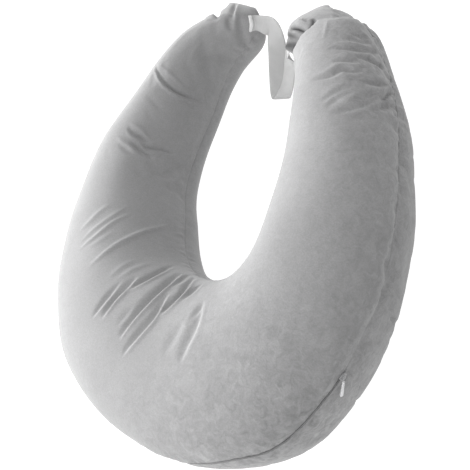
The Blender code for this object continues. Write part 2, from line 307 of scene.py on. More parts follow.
# Creases, each a line over the cover through (section, degrees). before and after are its
# half-widths on the sides of the lower and the higher sections, and depth is below zero for a
# ridge, all in millimetres. lip is how high its edge on the higher side rolls up, as a share
# of the depth.
Crease = namedtuple("Crease", "before after depth lip line")
CREASES = [Crease(*row) for row in (
    # left arm
    (3, 2.2, 4, 0.5,
     [(3.83, 74), (3.95, 102), (4.02, 124), (4.03, 142), (3.97, 166)]),
    (4, 3, 1, 0.2, [(4.06, 134), (4.09, 148), (4.1, 162)]),
    (3, 3, -1.6, 0, [(3.79, 86), (3.83, 113), (3.88, 132), (3.94, 142)]),
    (5, 4, 0.9, 0.2, [(4.26, 96), (4.28, 114), (4.35, 130)]),
    (4, 4, 0.6, 0.2, [(4.41, 110), (4.49, 128)]),
    (3.5, 3, -1.6, 0, [(4.61, 98), (4.65, 119), (4.73, 134)]),
    (3.5, 2.6, 3.4, 0.4, [(4.67, 100), (4.72, 114), (4.76, 136)]),
    (4, 3, 3.4, 0.4, [(4.77, 122), (4.82, 134), (4.78, 146), (4.76, 160)]),
    (3.5, 3, 2.8, 0.4, [(4.82, 112), (4.88, 126), (4.93, 142)]),
    (3.2, 3.2, -1.7, 0, [(4.81, 92), (4.88, 112), (4.94, 129)]),
    (3.5, 3.5, 1.4, 0.3, [(4.89, 100), (4.96, 122)]),
    # ridges of the fan round the left side of the bend
    (4, 4, -1.4, 0, [(6.18, 88), (6.1, 98), (5.95, 109), (5.88, 117)]),
    (3.2, 3.2, -1.4, 0, [(6.38, 91), (6.25, 108), (6.12, 120), (5.93, 133)]),
    (3.2, 3.2, -1.9, 0, [(6.49, 91), (6.43, 107), (6.28, 120), (6.12, 135)]),
    (4, 4, -0.9, 0, [(6.55, 99), (6.57, 108), (6.49, 123)]),
    (3.6, 4, -2.4, 0, [(6.93, 100), (6.88, 113), (6.73, 135), (6.5, 156), (6.3, 167)]),
    (4, 4, -1, 0, [(7.41, 113), (7.38, 124), (7.37, 135)]),
    (4, 4, -1, 0, [(7.58, 117), (7.6, 130), (7.65, 146)]),
    # valleys of the fan
    (4, 3, 2.9, 0.3, [(7.72, 90), (7.7, 104), (7.68, 118)]),
    (6, 3, 4.1, 0.4, [(7.89, 94), (7.85, 108), (7.87, 120), (7.84, 130)]),
    (5, 3, 3.7, 0.35, [(7.94, 118), (8.05, 133), (8.06, 146), (7.95, 161)]),
    (7, 3.2, 5.4, 0.4,
     [(8.36, 92), (8.41, 106), (8.5, 122), (8.55, 138), (8.48, 150), (8.36, 162)]),
    (4, 4, 2.5, 0, [(8.69, 139), (8.63, 154), (8.46, 167)]),
    (6, 3.2, 4.3, 0.4, [(8.51, 86), (8.65, 101), (8.77, 115), (8.77, 134)]),
    (5, 3.2, 4.8, 0.4, [(8.85, 115), (8.99, 127), (9.04, 140), (8.88, 154), (8.72, 166)]),
    (4, 3.2, 2.5, 0.2, [(9.16, 130), (9.29, 140), (9.29, 154)]),
    (4, 2.8, 2, 0.2, [(9.53, 114), (9.67, 120), (9.77, 126)]),
    (8, 4, 3.4, 0.12, [(9.46, 89), (9.55, 98), (9.68, 109), (9.78, 125)]),
    (7, 6, 1.6, 0, [(9.18, 92), (9.3, 102), (9.42, 113)]),
    (5, 4, 1.2, 0.2, [(8.22, 97), (8.29, 113)]),
    # gathers near the right tip, from the tip down
    (3, 4, 2.4, 0.3, [(13.9, 40), (13.88, 27), (13.88, 10)]),
    (3.4, 4.4, 2.4, 0.3, [(13.84, 52), (13.8, 29), (13.83, 4)]),
    (3.6, 4.2, 2.8, 0.4, [(13.79, 72), (13.7, 46), (13.67, 26), (13.7, 2)]),
    (2.8, 3.8, 3.4, 0.3, [(13.59, 44), (13.57, 26), (13.54, -2)]),
    (3.2, 4, 2.2, 0.4, [(13.61, 70), (13.55, 50), (13.54, 36)]),
    (3.2, 4.2, 3.2, 0.4, [(13.51, 94), (13.46, 75), (13.48, 60), (13.43, 46), (13.48, 30)]),
    (3, 4, 1.2, 0.2, [(13.36, 56), (13.35, 36)]),
    (3, 4.2, 2.8, 0.3, [(13.33, 44), (13.31, 24), (13.36, -2)]),
    (2.6, 3.6, 1.6, 0.4, [(13.22, 84), (13.27, 66), (13.29, 50)]),
    (3.2, 4, 1.2, 0.4, [(13.14, 80), (13.21, 63), (13.24, 46)]),
    (2.8, 4.2, 2.6, 0.3, [(13.14, 58), (13.18, 38), (13.26, 14)]),
    (2.6, 3.6, 4.4, 0.3, [(13.16, 27), (13.2, 12), (13.36, -8)]),
    (3.4, 4.8, 2.2, 0.3, [(13.04, 76), (13.08, 50), (13.17, 20)]),
    (3.2, 4.6, 3.4, 0.3, [(13.04, 36), (13.12, 12), (13.19, -6)]),
    (4, 5, 1.2, 0.2, [(12.95, 60), (12.98, 30)]),
    # crumples in the back panel beyond the seam, below the right arm
    (4, 4, 3, 0.3, [(11.82, -4), (11.72, -16), (11.6, -32)]),
    (3.5, 3.5, 2.8, 0.3, [(11.66, -1), (11.72, -8), (11.76, -18)]),
    (3.5, 3.5, 2.8, 0.3, [(11.6, 0), (11.6, -8), (11.58, -20)]),
    (4, 4, 2.4, 0.3, [(11.42, -8), (11.48, -18), (11.54, -32)]),
    # left tip: the notch beside its gathered ear, the ear's pleat, the hollow by the strap
    (3.4, 3.2, 10, 0.2, [(0.92, -25), (1.08, 30), (1.27, 60), (1.6, 84), (2.05, 104)]),
    (2.8, 4, 4.4, 0, [(0.02, 66), (0.3, 77), (0.85, 95), (1.62, 121), (1.95, 132)]),
    (4.4, 3.4, -3, 0, [(0, 82), (0.8, 102), (1.43, 121), (1.95, 137), (2.2, 146)]),
    (3.6, 3.6, 2.6, 0.2, [(1.75, 116), (2.08, 131), (2.3, 148)]),
    (6, 7, 4, 0.1, [(1.45, 129), (1.95, 148), (2.2, 162), (2.5, 178)]),
    (3.2, 3.2, -2.4, 0, [(1.98, 68), (1.9, 84), (2.06, 96)]),
    (2.6, 2.6, 1.8, 0.2, [(2.2, 90), (2.13, 102), (1.98, 109)]),
    (6, 6, 1.4, 0, [(2.18, 106), (2.4, 123), (2.65, 137)]),
    # puckers across its inner seam
    (2.2, 2.4, 2, 0.3, [(2.66, 163), (2.62, 176), (2.66, 189)]),
    (2.2, 2.4, 1.8, 0.3, [(2.88, 168), (2.82, 178), (2.82, 188)]),
    (2.2, 2.4, 1.8, 0.3, [(2.4, 172), (2.43, 182), (2.4, 192)]),
    (2, 2.2, 1.6, 0.3, [(2.12, 175), (2.16, 184), (2.14, 193)]),
    # right tip: the rolled lip and the pocket of its tuck, and small folds at its end
    (3.4, 3.4, -3, 0, [(15.75, 127), (15.5, 115), (15.27, 102), (14.98, 92)]),
    (2.6, 3, 7, 0, [(15.34, 124), (15.1, 113), (14.92, 104), (14.78, 97)]),
    (2.4, 2.4, 3, 0, [(15.7, 156), (15.25, 143), (14.93, 129)]),
    (6, 6, -6, 0, [(15.9, 176), (15.4, 164), (15, 154), (14.75, 148)]),
    (2.4, 2.4, -1, 0, [(14.58, 64), (14.38, 68), (14.15, 72), (13.98, 76)]),
    (3.4, 3.4, 2.2, 0.2, [(16, 40), (15.45, 36), (14.95, 30)]),
    (3, 3, 1.8, 0.2, [(15.1, 46), (14.7, 38), (14.45, 22)]),
    # the tuck itself
    (2.6, 10, 14, 0.35,
     [(14.92, 76), (14.7, 90), (14.67, 105), (14.64, 120), (14.74, 138), (14.72, 152),
      (14.7, 168)]),
)]
# Where little light gets into the tuck: lines with a reach in millimetres and a shade.
Shade = namedtuple("Shade", "reach shade line")
SHADES = [Shade(*row) for row in (
    (2.2, 0.98, [(15.4, 124), (15.2, 117), (15.03, 110), (14.9, 103), (14.8, 98)]),
    (2.8, 0.9,
     [(15.14, 88), (15.02, 84), (14.88, 85), (14.78, 91), (14.74, 98), (14.76, 105)]),
    (5, 0.85, [(15.8, 146), (15.3, 136), (14.95, 124), (14.8, 114)]),
    (6.5, 0.88, [(16, 172), (15.4, 160), (15, 148), (14.75, 134)]),
    (3, 0.9, [(14.7, 118), (14.76, 128), (14.8, 142), (14.8, 160)]),
)]
# Painted shade along the line of the outer seam, where little light gets into it: pairs of a
# section and a shade. Places on the inner side count as far away from it.
SEAM_SHADES = [
    (9.1, 0), (9.5, 0.1), (10.2, 0.3), (10.9, 0.5), (11, 0), (11.6, 0), (12.2, 0.25),
    (13.2, 0.35), (14.1, 0.75), (14.35, 0),
]
SEAM_SHADE_REACH = 0.9 * MM
SEAM_FAR_AWAY = 30 * MM
# A crease grows shallower and narrower towards its ends. Its lip's place and its reach are in
# half-widths.
CREASE_STEPS = 60
CREASE_TAPER = 0.8
CREASE_END_WIDTH = 0.5
LIP_PLACE = 1.9
CREASE_REACH = 4


def crease_path(crease):
    """Points along a crease on the plain body, and its share of the full depth at each."""
    places = np.array(crease.line, float)
    where = np.linspace(0, len(places) - 1, CREASE_STEPS)
    rows = smooth_rows(places, where)
    line, _ = plain_surface(rows[:, 0], np.radians(rows[:, 1]))
    part = run_along(line)
    part /= part[-1]
    fade = np.sin(math.pi * np.clip(part, 0, 1)) ** CREASE_TAPER
    return line, fade


def crease_profile(points, crease):
    """Which points a crease reaches, its depth there and how near its middle they are."""
    line, fade = crease_path(crease)
    reach = max(crease.before, crease.after) * CREASE_REACH * MM
    low, high = line.min(axis=0) - reach, line.max(axis=0) + reach
    near = np.where(np.all((points > low) & (points < high), axis=-1))
    spots = points[near]
    offset = spots[:, None, :] - line[None]
    nearest = (offset ** 2).sum(axis=-1).argmin(axis=-1)
    picked = offset[np.arange(len(spots)), nearest]
    along = np.gradient(line, axis=0)[nearest]
    along /= np.linalg.norm(along, axis=-1, keepdims=True)
    onward = np.gradient(points, axis=0)[near]
    onward -= along * (onward * along).sum(axis=-1, keepdims=True)
    side = (onward * picked).sum(axis=-1)
    half_width = np.where(side > 0, crease.after, crease.before) * MM
    half_width *= CREASE_END_WIDTH + (1 - CREASE_END_WIDTH) * fade[nearest]
    away = np.linalg.norm(picked, axis=-1) / half_width
    lip = np.where(side > 0, crease.lip, 0) * np.exp(-(away - LIP_PLACE) ** 2)
    within = fade[nearest] * np.exp(-away ** 2)
    return near, crease.depth * MM * (within - fade[nearest] * lip), within


# The stuffing pushes the cover out: a coarse, slightly smaller cover under pressure is
# simulated, held at its seams, its tips and its underside.
PUFF_ROWS = 150
PUFF_ROUND = 72
PUFF_SHRINK = 0.5 * MM
PUFF_FRAMES = 20
PUFF_LIMIT = 5 * MM
# How firmly it is held at the seams and how far from them, how far below them it is held
# fully, and from how many sections off each tip it comes free.
PUFF_SEAM_HOLD = 1.4
PUFF_SEAM_REACH = 7 * MM
PUFF_UNDERSIDE = 12 * MM
PUFF_TIP_SECTIONS = (0.5, 2.5)
CLOTH_SETTINGS = {
    "quality": 6, "mass": 0.25, "tension_stiffness": 20, "compression_stiffness": 20,
    "shear_stiffness": 8, "bending_stiffness": 0.6, "use_pressure": True,
    "uniform_pressure_force": 4, "shrink_min": -0.002, "vertex_group_mass": "held",
}


def held_share(sections, angles, points, seam):
    """How firmly the simulated cover is held at each point, from 0 to 1."""
    side = np.cos(angles) ** 2
    from_seam = above_seam(sections, angles, points, seam)
    at_seam = side * np.exp(-(from_seam / PUFF_SEAM_REACH) ** 2)
    underneath = soft_step(seam - points[..., 2], 0, PUFF_UNDERSIDE)
    at_tip = 1 - soft_step(from_tip(sections), *PUFF_TIP_SECTIONS)
    return np.maximum(np.maximum(at_seam * PUFF_SEAM_HOLD, underneath), at_tip).clip(0, 1)


def simulated(points, held):
    """Points of the coarse cover after the simulation. held is how firmly each is held."""
    item = loft("puffed", points, None)
    group = item.vertex_groups.new(name="held")
    # The middles of the two ends come last.
    for index, share in enumerate([*held.ravel().tolist(), 1.0, 1.0]):
        group.add([index], share, "REPLACE")
    cloth = item.modifiers.new("cloth", "CLOTH")
    for name, value in CLOTH_SETTINGS.items():
        setattr(cloth.settings, name, value)
    cloth.settings.effector_weights.gravity = 0
    cloth.point_cache.frame_start = 1
    cloth.point_cache.frame_end = PUFF_FRAMES
    for step in range(1, PUFF_FRAMES + 1):
        bpy.context.scene.frame_set(step)
    solved = item.evaluated_get(bpy.context.evaluated_depsgraph_get())
    spots = np.empty(len(solved.data.vertices) * 3)
    solved.data.vertices.foreach_get("co", spots)
    bpy.context.scene.frame_set(1)
    mesh = item.data
    bpy.data.objects.remove(item, do_unlink=True)
    bpy.data.meshes.remove(mesh)
    return spots[:points.size].reshape(points.shape)


def puff(sections, angles):
    """How far the stuffing moves each place of the fine mesh."""
    coarse_sections = crowded_sections(PUFF_ROWS)
    coarse_angles = crowded_angles(PUFF_ROUND)
    grid = coarse_sections[:, None], coarse_angles[None]
    plain, seam = plain_surface(*grid)
    held = held_share(*grid, plain, seam)
    start = plain - grid_normals(plain) * (PUFF_SHRINK * (1 - held))[..., None]
    moved = simulated(start, held) - plain
    length = np.linalg.norm(moved, axis=-1, keepdims=True)
    moved *= PUFF_LIMIT / np.sqrt(PUFF_LIMIT ** 2 + length ** 2)
    rows = np.interp(sections.ravel(), coarse_sections, np.arange(PUFF_ROWS))
    fine = smooth_rows(moved.reshape(PUFF_ROWS, -1), rows).reshape(len(rows), PUFF_ROUND, 3)
    fine = np.concatenate([fine, fine[:, :1]], axis=1).transpose(1, 0, 2)
    round_angles = np.append(coarse_angles, 2 * math.pi)
    columns = np.interp(angles.ravel(), round_angles, np.arange(PUFF_ROUND + 1))
    fine = smooth_rows(fine.reshape(PUFF_ROUND + 1, -1), columns)
    return fine.reshape(len(columns), len(rows), 3).transpose(1, 0, 2)


def seam_depths(sections, angles, from_seam):
    """How far the side seams and the puckers along them draw the cloth in."""
    outer = np.cos(angles) > 0
    side = np.cos(angles) ** 2
    depth = SEAM_DEPTH * side * np.exp(-(from_seam / SEAM_HALF_WIDTH) ** 2)
    line = graded(sections, SEAM_LINE_SHARES)
    depth += SEAM_LINE_DEPTH * line * side * np.exp(-(from_seam / SEAM_LINE_HALF_WIDTH) ** 2)
    for at_side, angle, strengths in (
        (outer, 0.0, OUTER_PUCKERS), (~outer, math.pi, INNER_PUCKERS)
    ):
        run = run_along(plain_surface(sections[:, 0], angle)[0])
        above = noise_along(run, PUCKER_PITCH, PUCKER_SEED_ABOVE + angle)[:, None]
        below = noise_along(run, PUCKER_PITCH, PUCKER_SEED_BELOW + angle)[:, None]
        wave = np.where(from_seam > 0, above, below)
        strength = graded(sections, strengths)
        away = np.abs(from_seam) / PUCKER_REACH
        reach = away * np.exp(0.5 - away ** 2)
        depth += at_side * side * PUCKER_DEPTH * strength * wave * reach
    along_zip = soft_step(sections, ZIP_FIRST_SECTION - ZIP_FADE, ZIP_FIRST_SECTION)
    along_zip = along_zip * soft_step(sections, ZIP_LAST_SECTION + ZIP_FADE, ZIP_LAST_SECTION)
    lip = np.exp(-((np.abs(from_seam) - ZIP_LIP_PLACE) / ZIP_LIP_HALF_WIDTH) ** 2)
    depth -= ZIP_LIP_HEIGHT * outer * side * along_zip * lip
    return depth * np.clip((from_tip(sections) + 1) / SEAM_FADE, 0, 1)


def body_shape():
    """The points of the cover, and what its material needs to know of each."""
    sections = crowded_sections(ROWS_ALONG)[:, None]
    angles = crowded_angles(POINTS_ROUND)[None]
    points, seam = plain_surface(sections, angles)
    puffed = points + puff(sections, angles)
    normals = grid_normals(puffed)
    from_seam = above_seam(sections, angles, points, seam)
    depth = seam_depths(sections, angles, from_seam) + lumps(sections, angles, points)
    for crease in CREASES:
        near, pressed, _ = crease_profile(points, crease)
        depth[near] += pressed
    from_seam = np.where(np.cos(angles) > 0, from_seam, SEAM_FAR_AWAY)
    seam_shade = graded(sections, SEAM_SHADES) + np.zeros(depth.shape)
    shade = np.zeros(depth.shape)
    for patch in SHADES:
        line = Crease(patch.reach, patch.reach, 0, 0, patch.line)
        near, _, within = crease_profile(points, line)
        shade[near] = 1 - (1 - shade[near]) * (1 - patch.shade * within)
    nap = graded(sections, NAP_ALONG) * graded(np.degrees(angles), NAP_ROUND)
    attributes = {
        "fold_shade": shade, "nap": nap, "from_seam": from_seam, "seam_shade": seam_shade
    }
    return puffed - normals * depth[..., None], attributes


def add_object(name, data):
    item = bpy.data.objects.new(name, data)
    bpy.context.scene.collection.objects.link(item)
    return item


def new_material(name):
    """A material, and the calls that set up its shader and its other nodes."""
    material = bpy.data.materials.new(name)
    material.use_nodes = True
    return material, Nodes(material.node_tree)


def plain_material(look):
    material, nodes = new_material(look.name)
    nodes.surface({
        "Base Color": (*look.colour, 1),
        "Roughness": look.roughness,
        "Metallic": look.metallic,
    })
    return material


class Nodes:
    """Short calls for building a material's nodes."""

    def __init__(self, tree):
        self.tree = tree

    def give(self, node, inputs):
        """Sets inputs, by their place or name, to a number, a colour or another's output."""
        for key, value in inputs.items():
            if isinstance(value, bpy.types.NodeSocket):
                self.tree.links.new(value, node.inputs[key])
            elif value is not None:
                node.inputs[key].default_value = value
        return node

    def surface(self, inputs):
        self.give(self.tree.nodes["Principled BSDF"], inputs)

    def add(self, kind, inputs=(), **settings):
        node = self.tree.nodes.new("ShaderNode" + kind)
        for name, value in settings.items():
            setattr(node, name, value)
        return self.give(node, dict(inputs))

    def math(self, operation, *inputs):
        return self.add("Math", enumerate(inputs), operation=operation).outputs[0]

    def times(self, first, *others):
        for other in others:
            first = self.math("MULTIPLY", first, other)
        return first

    def attribute(self, name):
        return self.add("Attribute", attribute_name=name).outputs["Fac"]

    def place(self):
        return self.add("TexCoord").outputs["Object"]

    def noise(self, place, size, detail, distortion=0.0):
        """Noise from 0 to 1 whose patches are about so large, in metres."""
        return self.add("TexNoise", {
            "Vector": place, "Scale": 1 / size, "Detail": detail, "Distortion": distortion,
        }).outputs["Fac"]

    def swing(self, value, reach):
        """A factor that swings about 1 as a noise swings about a half."""
        return self.math("MULTIPLY_ADD", self.math("SUBTRACT", value, 0.5), reach, 1.0)

    def grey(self, value, tint=(1.0, 1.0, 1.0)):
        parts = [self.times(value, part) for part in tint]
        return self.add("CombineColor", enumerate(parts)).outputs[0]

    def bump(self, height, distance, before=None, strength=1.0):
        return self.add("Bump", {
            "Height": height, "Distance": distance, "Strength": strength, "Normal": before,
        }).outputs[0]


def loft(name, points, material):
    """A closed mesh through the rows of a grid of points, each row a closed outline."""
    rows, around = points.shape[:2]
    index = np.arange(rows * around).reshape(rows, around)
    following = np.roll(index, -1, axis=1)
    quads = np.stack([index[:-1], following[:-1], following[1:], index[1:]], axis=-1)
    faces = quads.reshape(-1, 4).tolist()
    caps = ((following[0], index[0]), (index[-1], following[-1]))
    for middle, (first, second) in enumerate(caps, rows * around):
        faces += [(a, b, middle) for a, b in zip(first.tolist(), second.tolist())]
    spots = np.vstack([points.reshape(-1, 3), points[0].mean(axis=0), points[-1].mean(axis=0)])
    mesh = bpy.data.meshes.new(name)
    mesh.from_pydata(spots.tolist(), [], faces)
    item = add_object(name, mesh)
    if material:
        mesh.materials.append(material)
    shape = bmesh.new()
    shape.from_mesh(mesh)
    bmesh.ops.recalc_face_normals(shape, faces=shape.faces)
    shape.to_mesh(mesh)
    shape.free()
    mesh.shade_smooth()
    return item


# The strap, sewn to the two tips. Each row of its route is a place on its middle line in
# millimetres, then the direction across it: its heading in plan and its slope in degrees.
STRAP_WIDTH = 25 * MM
STRAP_THICKNESS = 1.4 * MM
RoutePoint = namedtuple("RoutePoint", "x y z heading slope")
STRAP_ROUTE = [RoutePoint(*row) for row in (
    # sewn to the left tip
    (-18, 248, 68, -96, -36),
    (-12, 251, 61, -96, -36),
    (-4, 252, 56, -100, -34),
    # turns towards the bend of the pillow and comes down
    (4, 250, 53, -135, -28),
    (7, 243, 48, -158, -10),
    (7, 234, 41.5, -170, 9),
    (4.5, 225, 32.5, -168, 26),
    (1.5, 213.5, 24.5, -168, 32),
    (-1, 202, 17, -168, 34),
    (-1.5, 191, 12.5, -168, 32),
    (-1, 181, 9.5, -170, 28),
    # rolls over itself
    (0.5, 172.5, 7.5, -173, 20),
    (5, 166, 9, -180, 12),
    (11.5, 169, 13.5, -182, 6),
    # comes back in front
    (16, 179, 15.5, -182, -6),
    (19, 189.5, 18, -184, -13),
    (22, 199.5, 22.5, -187, -15),
    (25.5, 207, 29.5, -202, -12),
    # reaches the right tip, where it is sewn
    (30, 211, 38, -232, -4),
    (34, 212, 48, -255, 0),
    (44, 206, 59, -266, 0),
    (54, 200, 70, -270, 0),
)]
STRAP_STEPS = 300
STRAP_STEPS_ACROSS = 14
STRAP_OFFSETS = np.linspace(-0.5, 0.5, STRAP_STEPS_ACROSS + 1) * STRAP_WIDTH
# How long its sewn ends are, over what length it lifts off, and its gaps to the cover.
SEWN_LENGTH = 14 * MM
LIFT_LENGTH = 12 * MM
SEWN_GAP = 0.5 * MM
FREE_GAP = 1.6 * MM
# How often it is fitted to the cover and smoothed.
STRAP_FITTINGS = 3
STRAP_SMOOTHING = 40
STRAP_LAST_SMOOTHING = 8
HEM_LENGTH = 4.5 * MM
HEM_STEP = 0.6 * MM
HEM_THICKENING = 0.7
# How thin a strip is at its edges, and how abruptly it gets so.
EDGE_THINNING = 0.9
EDGE_SHARPNESS = 8


def mesh_tree(item):
    points = [vertex.co.copy() for vertex in item.data.vertices]
    return BVHTree.FromPolygons(points, [tuple(face.vertices) for face in item.data.polygons])


def over_cover(tree, point):
    """The nearest place on the cover, its normal, and how far off along it the point is."""
    on_body, normal, _, _ = tree.find_nearest(point)
    return on_body, normal, (point - on_body).dot(normal)


def smooth_along(strip, times):
    for _ in range(times):
        strip[1:-1] = 0.5 * strip[1:-1] + 0.25 * (strip[2:] + strip[:-2])


def strap_middle(tree):
    """The strap's middle surface, on the cover where it is sewn and clear of it elsewhere."""
    rows = smooth_rows(STRAP_ROUTE, np.linspace(0, len(STRAP_ROUTE) - 1, STRAP_STEPS))
    centre = rows[:, :3] * MM
    across = direction(rows[:, 3], rows[:, 4])
    run = run_along(centre)
    from_end = np.minimum(run, run[-1] - run)
    loose = np.clip((from_end - SEWN_LENGTH) / LIFT_LENGTH, 0, 1)
    spread = np.ones(STRAP_STEPS)
    for _ in range(STRAP_FITTINGS):
        offsets = spread[:, None] * STRAP_OFFSETS
        middle = centre[:, None] + across[:, None] * offsets[..., None]
        for index in np.ndindex(middle.shape[:2]):
            point = Vector(middle[index])
            on_body, normal, height = over_cover(tree, point)
            share = loose[index[0]]
            gap = STRAP_THICKNESS / 2 + SEWN_GAP + (FREE_GAP - SEWN_GAP) * share
            if share == 0 or height < gap:
                point = on_body + normal * gap
            point.z = max(point.z, STRAP_THICKNESS / 2)
            middle[index] = point
        width = np.linalg.norm(np.diff(middle, axis=1), axis=-1).sum(axis=1)
        spread *= STRAP_WIDTH / width
    # The webbing is too stiff to follow the small folds below it.
    smooth_along(middle, STRAP_SMOOTHING)
    for index in np.ndindex(middle.shape[:2]):
        point = Vector(middle[index])
        on_body, normal, height = over_cover(tree, point)
        short = STRAP_THICKNESS / 2 + SEWN_GAP - height
        if short > 0 and (point - on_body).length < STRAP_WIDTH:
            middle[index] = point + normal * short
    smooth_along(middle, STRAP_LAST_SMOOTHING)
    return middle, run


def strip_outlines(middle, thickness):
    """Closed outlines round a strip with rounded edges, from its middle surface."""
    along = np.gradient(middle, axis=0)
    across = np.gradient(middle, axis=1)
    normals = np.cross(across, along)
    normals /= np.linalg.norm(normals, axis=-1, keepdims=True)
    place = np.linspace(-1, 1, middle.shape[1])
    rounded = np.sqrt(1 - EDGE_THINNING * place ** EDGE_SHARPNESS)[None, :, None]
    half = normals * np.asarray(thickness)[..., None, None] / 2 * rounded
    return np.concatenate([middle + half, (middle - half)[:, ::-1]], axis=1)


def give_attribute(item, name, values):
    spots = item.data.attributes.new(name, "FLOAT", "POINT")
    spots.data.foreach_set("value", values)


def make_strap(cover):
    middle, run = strap_middle(mesh_tree(cover))
    hem = 1 - soft_step(run, HEM_LENGTH, HEM_LENGTH + HEM_STEP)
    outlines = strip_outlines(middle, STRAP_THICKNESS * (1 + HEM_THICKENING * hem))
    strap = loft("strap_webbing", outlines, webbing_material())
    across = np.tile(np.concatenate([STRAP_OFFSETS, STRAP_OFFSETS[::-1]]), STRAP_STEPS)
    give_attribute(strap, "run", np.append(np.repeat(run, outlines.shape[1]), [0.0, run[-1]]))
    give_attribute(strap, "across", np.append(across, [0.0, 0.0]))
    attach(strap, "root")
    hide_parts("strap")
    stitches = make_stitches(middle, run)


# The stitches that hold the strap's two ends, in rows across it.
STITCH_ROWS = (3.0 * MM, 8.5 * MM)
STITCH_PITCH = 2.6 * MM
STITCH_SIZE = (1.9 * MM, 0.5 * MM, 0.4 * MM)
STITCH_ROUNDING = 0.15 * MM
# The plain materials.
Look = namedtuple("Look", "name colour roughness metallic")
THREAD_LOOK = Look("strap_thread", (0.6, 0.6, 0.6), 0.6, 0)
TAPE_LOOK = Look("zip_tape", (0.26, 0.26, 0.263), 0.8, 0)
TEETH_LOOK = Look("zip_teeth", (0.15, 0.15, 0.151), 0.4, 0)
SLIDER_LOOK = Look("slider_metal", (0.33, 0.33, 0.335), 0.45, 0.5)
PULLER_LOOK = Look("puller_metal", (0.62, 0.62, 0.63), 0.45, 0.2)


def make_stitches(middle, run):
    shape = bmesh.new()
    width = STRAP_WIDTH - 2 * STITCH_PITCH
    for place in [*STITCH_ROWS, *(run[-1] - row for row in STITCH_ROWS)]:
        row = int(np.abs(run - place).argmin())
        line = middle[row]
        onward = Vector(middle[row + 1, 0] - middle[row - 1, 0])
        across = Vector(line[-1] - line[0]).normalized()
        up = across.cross(onward).normalized()
        lift = STRAP_THICKNESS / 2 * (1 + HEM_THICKENING * (place < HEM_LENGTH))
        for offset in np.arange(-width / 2, width / 2, STITCH_PITCH):
            spot = [np.interp(offset, STRAP_OFFSETS, line[:, k]) for k in range(3)]
            at = placed(Vector(spot) + up * lift, across, up)
            add_block(shape, STITCH_SIZE, STITCH_ROUNDING, at)
    stitches = object_from("strap_stitches", shape, plain_material(THREAD_LOOK))
    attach(stitches, "root")
    return stitches


# The webbing's weave: the pitches of its picks and its cords, how far a cord shifts the picks,
# the cords' share of the relief, and how much the relief shades the grey.
PICK_PITCH = 1.5 * MM
CORD_PITCH = 1.25 * MM
CORD_SHIFT = 1.2
CORD_SHARE = 0.6
WEAVE_SHADE = 0.1
WEAVE_BUMP = 0.18 * MM
SOIL_SIZE, SOIL_SWING = 12 * MM, 0.25
WEBBING_GREY = 0.42
HEM_GREY = 0.72


def webbing_material():
    material, nodes = new_material("strap_webbing")
    run, across = nodes.attribute("run"), nodes.attribute("across")
    cords = nodes.math("SINE", nodes.times(across, 2 * math.pi / CORD_PITCH))
    # Each pick passes over one cord and under the next.
    picks = nodes.times(run, 2 * math.pi / PICK_PITCH)
    picks = nodes.math("SINE", nodes.math("ADD", picks, nodes.times(cords, CORD_SHIFT)))
    weave = nodes.times(nodes.math("ADD", picks, nodes.times(cords, CORD_SHARE)), 0.5)
    hem = nodes.math("LESS_THAN", run, HEM_LENGTH)
    grey = nodes.math("MULTIPLY_ADD", hem, HEM_GREY - WEBBING_GREY, WEBBING_GREY)
    soiled = nodes.swing(nodes.noise(nodes.place(), SOIL_SIZE, 3), SOIL_SWING)
    grey = nodes.times(grey, nodes.math("MULTIPLY_ADD", weave, WEAVE_SHADE, soiled))
    nodes.surface({
        "Base Color": nodes.grey(grey),
        "Roughness": 0.75,
        "Sheen Weight": 0.15,
        "Normal": nodes.bump(weave, WEAVE_BUMP, strength=0.8),
    })
    return material


# The chain of the zip, its slider and its puller.
TOOTH_PITCH = 1.25 * MM
TOOTH_SIZE = (0.8 * MM, 0.5 * MM, 0.4 * MM)
TOOTH_ASIDE = 0.28
TAPE_WIDTH = 1.5 * MM
TAPE_THICKNESS = 0.5 * MM
CHAIN_GAP = 0.4 * MM
ZIP_STEPS = 120
ZIP_FINE_STEPS = 400
SLIDER_LENGTH = 8 * MM
SLIDER_WIDTH = 4.8 * MM
SLIDER_PLATE = 1.0 * MM
SLIDER_ROUNDING = 0.35 * MM
FLANGE_SIZE = (7.2 * MM, 0.8 * MM, 1.3 * MM)
SMALL_ROUNDING = 0.25 * MM
BRIDGE_LENGTH = 5 * MM
BRIDGE_HEIGHT = 2.2 * MM
BRIDGE_ROUNDING = 0.3 * MM
BRIDGE_BLOCKS = 9
BRIDGE_BLOCK_SIZE = (1.4 * MM, 1.3 * MM, 0.8 * MM)
PULLER_LENGTH = 18 * MM
PULLER_NECK_RADIUS = 1.2 * MM
PULLER_END_RADIUS = 1.7 * MM
PULLER_HOLE_RADIUS = 0.7 * MM
PULLER_THICKNESS = 1.2 * MM
PULLER_ROUNDING = 0.3 * MM
PULLER_TURN = math.radians(39)
PULLER_PLACE_SHARE = 0.4
PULLER_GAP = 1.6 * MM
PULLER_END_STEPS = 25
PULLER_NECK_STEPS = 17
PIECE_GAP = 0.3 * MM
SEAM_STEP = 0.02


def seam_place(section, rise=0.0):
    """A place on the outer seam before it is drawn in, or so many radians above it."""
    return Vector(plain_surface(section, seam_angle(section) + rise)[0])


def seam_frame(section):
    """Place, direction along and outward direction of the outer seam's drawn-in line."""
    along = (seam_place(section + SEAM_STEP) - seam_place(section - SEAM_STEP)).normalized()
    up = seam_place(section, SEAM_STEP) - seam_place(section, -SEAM_STEP)
    outward = along.cross(up).normalized()
    return seam_place(section) - outward * SEAM_DEPTH, along, outward


def placed(place, along, outward):
    """A matrix whose X runs along and whose Z points outward."""
    side = outward.cross(along).normalized()
    turned = Matrix((along, side, outward.normalized())).transposed()
    return Matrix.Translation(place) @ turned.to_4x4()


